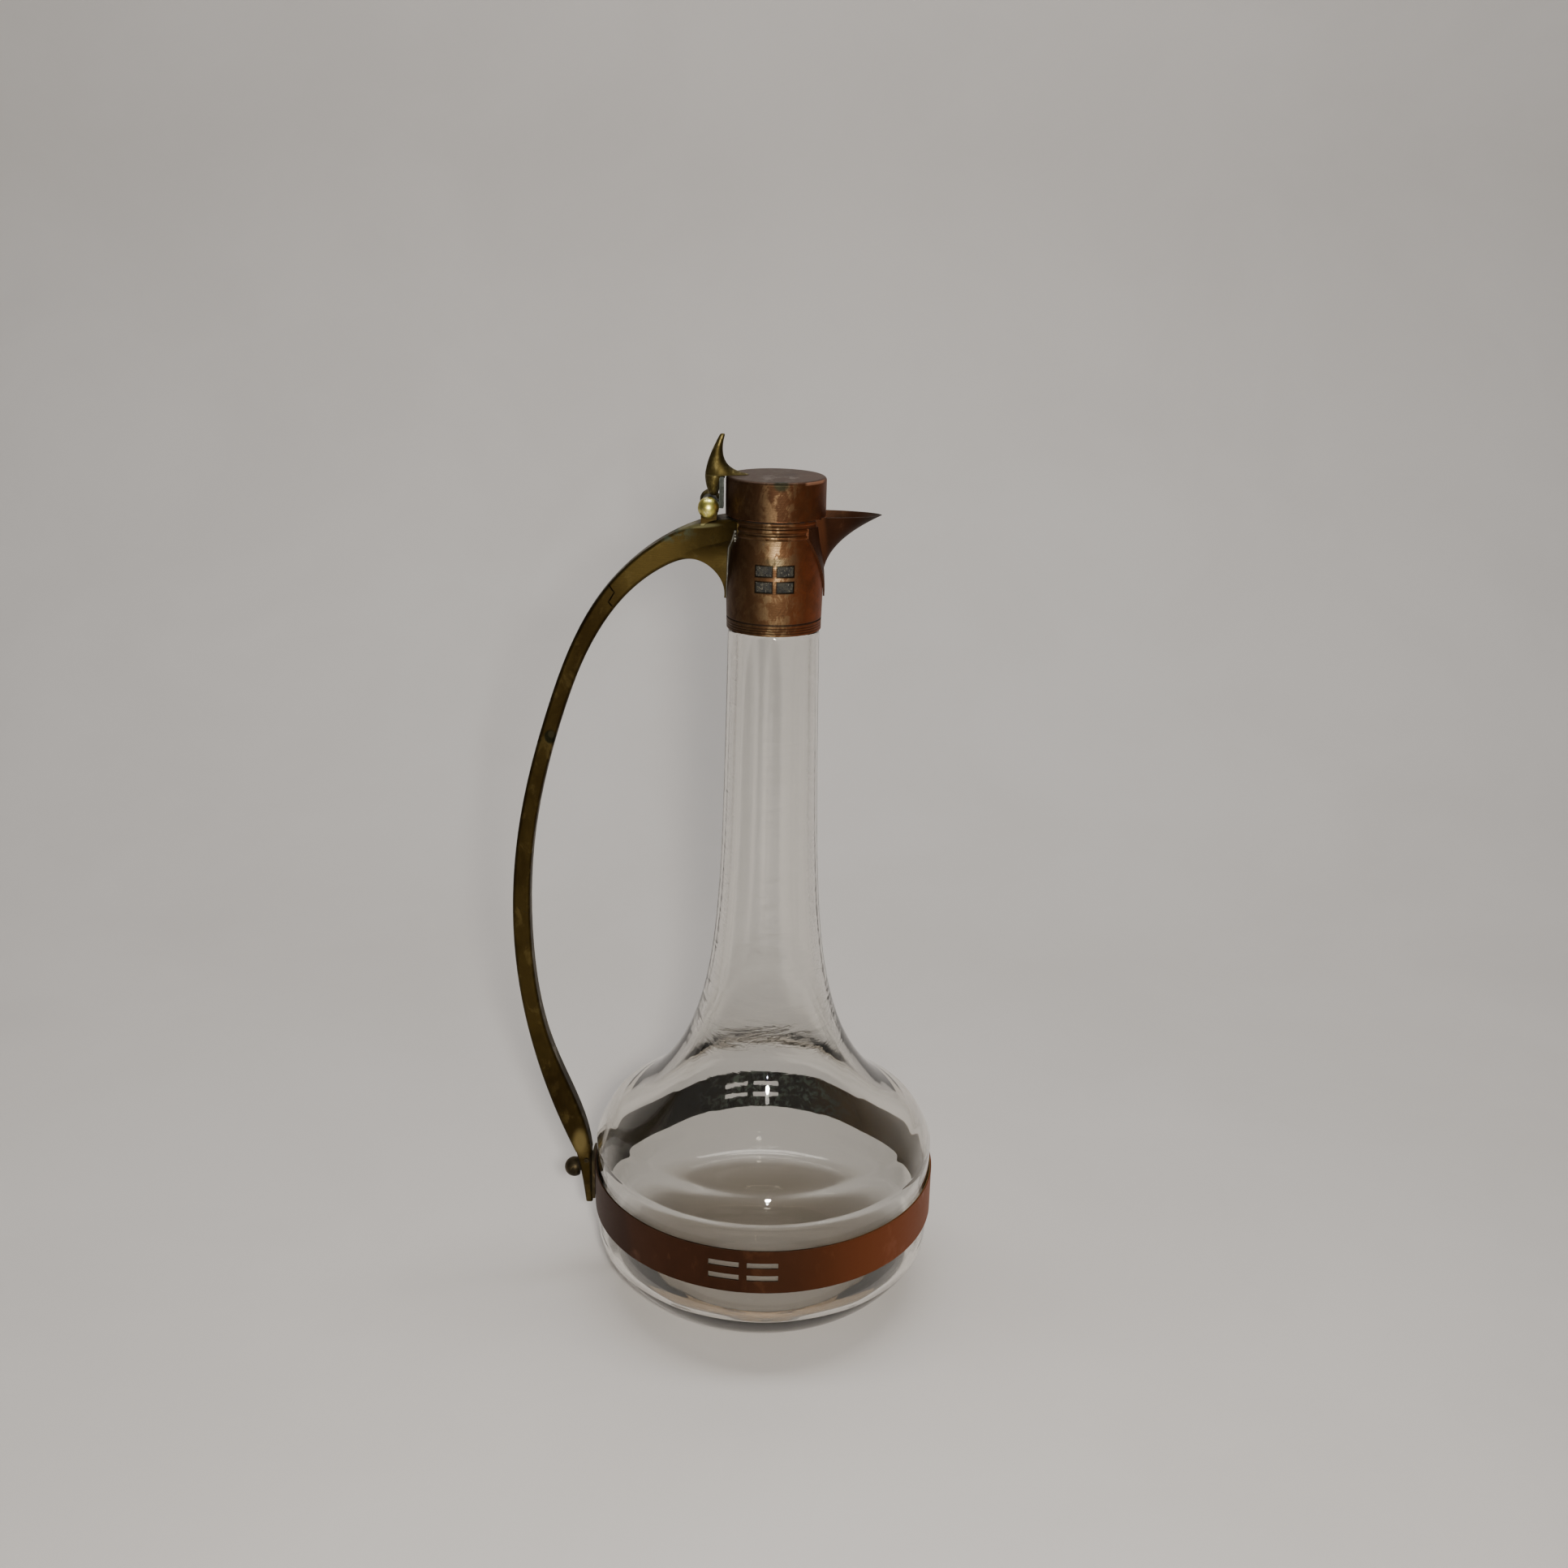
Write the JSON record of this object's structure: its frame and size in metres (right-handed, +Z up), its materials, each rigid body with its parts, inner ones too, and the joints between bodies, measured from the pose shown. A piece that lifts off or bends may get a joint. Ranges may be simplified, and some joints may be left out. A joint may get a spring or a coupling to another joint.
{
  "type": "hinged-lid claret jug",
  "caption": "Tall glass carafe with a broad drum belly and slim neck, copper collar, spout and belly band, brass bow handle and hinged lid.",
  "frame": {"origin": "centre of the foot's flat ground face, on the axis of the round glass body", "axes": "+Z up along the glass body's axis; +X toward the spout, so the handle is on the -X side; the lid's hinge pin is parallel to Y"},
  "size_m": [0.1633, 0.1338, 0.3361],
  "materials": {
    "glass": "clear blown glass, faintly warm grey in the thick parts",
    "copper": "brown patinated copper, satin, with worn golden patches",
    "brass": "olive brown aged brass, satin",
    "polished_brass": "bright rubbed brass",
    "dark_brass": "blackened brass",
    "nickel_silver": "dull nickel silver with a green cast",
    "cement": "grey green plaster"
  },
  "bodies": {
    "jug": {"glass_body": "glass", "neck_cement": "cement", "collar": "copper", "spout": "copper", "handle_upper": "brass", "handle_lower": "brass", "hinge_pin": "brass", "hinge_ball_front": "polished_brass", "hinge_ball_rear": "polished_brass", "belly_band": "copper", "band_lug": "dark_brass", "clamp_screw": "dark_brass", "foot_pin": "brass"},
    "lid": {"lid": "copper", "lid_seat_ring": "copper", "hinge_leaf": "nickel_silver", "thumbpiece": "brass"}
  },
  "joints": [
    {"name": "lid_hinge", "type": "hinge", "parent": "jug", "child": "lid", "pos_m": [-0.0233, 0, 0.3117], "axis": [0, -1, 0], "range_deg": [0, 115]}
  ]
}
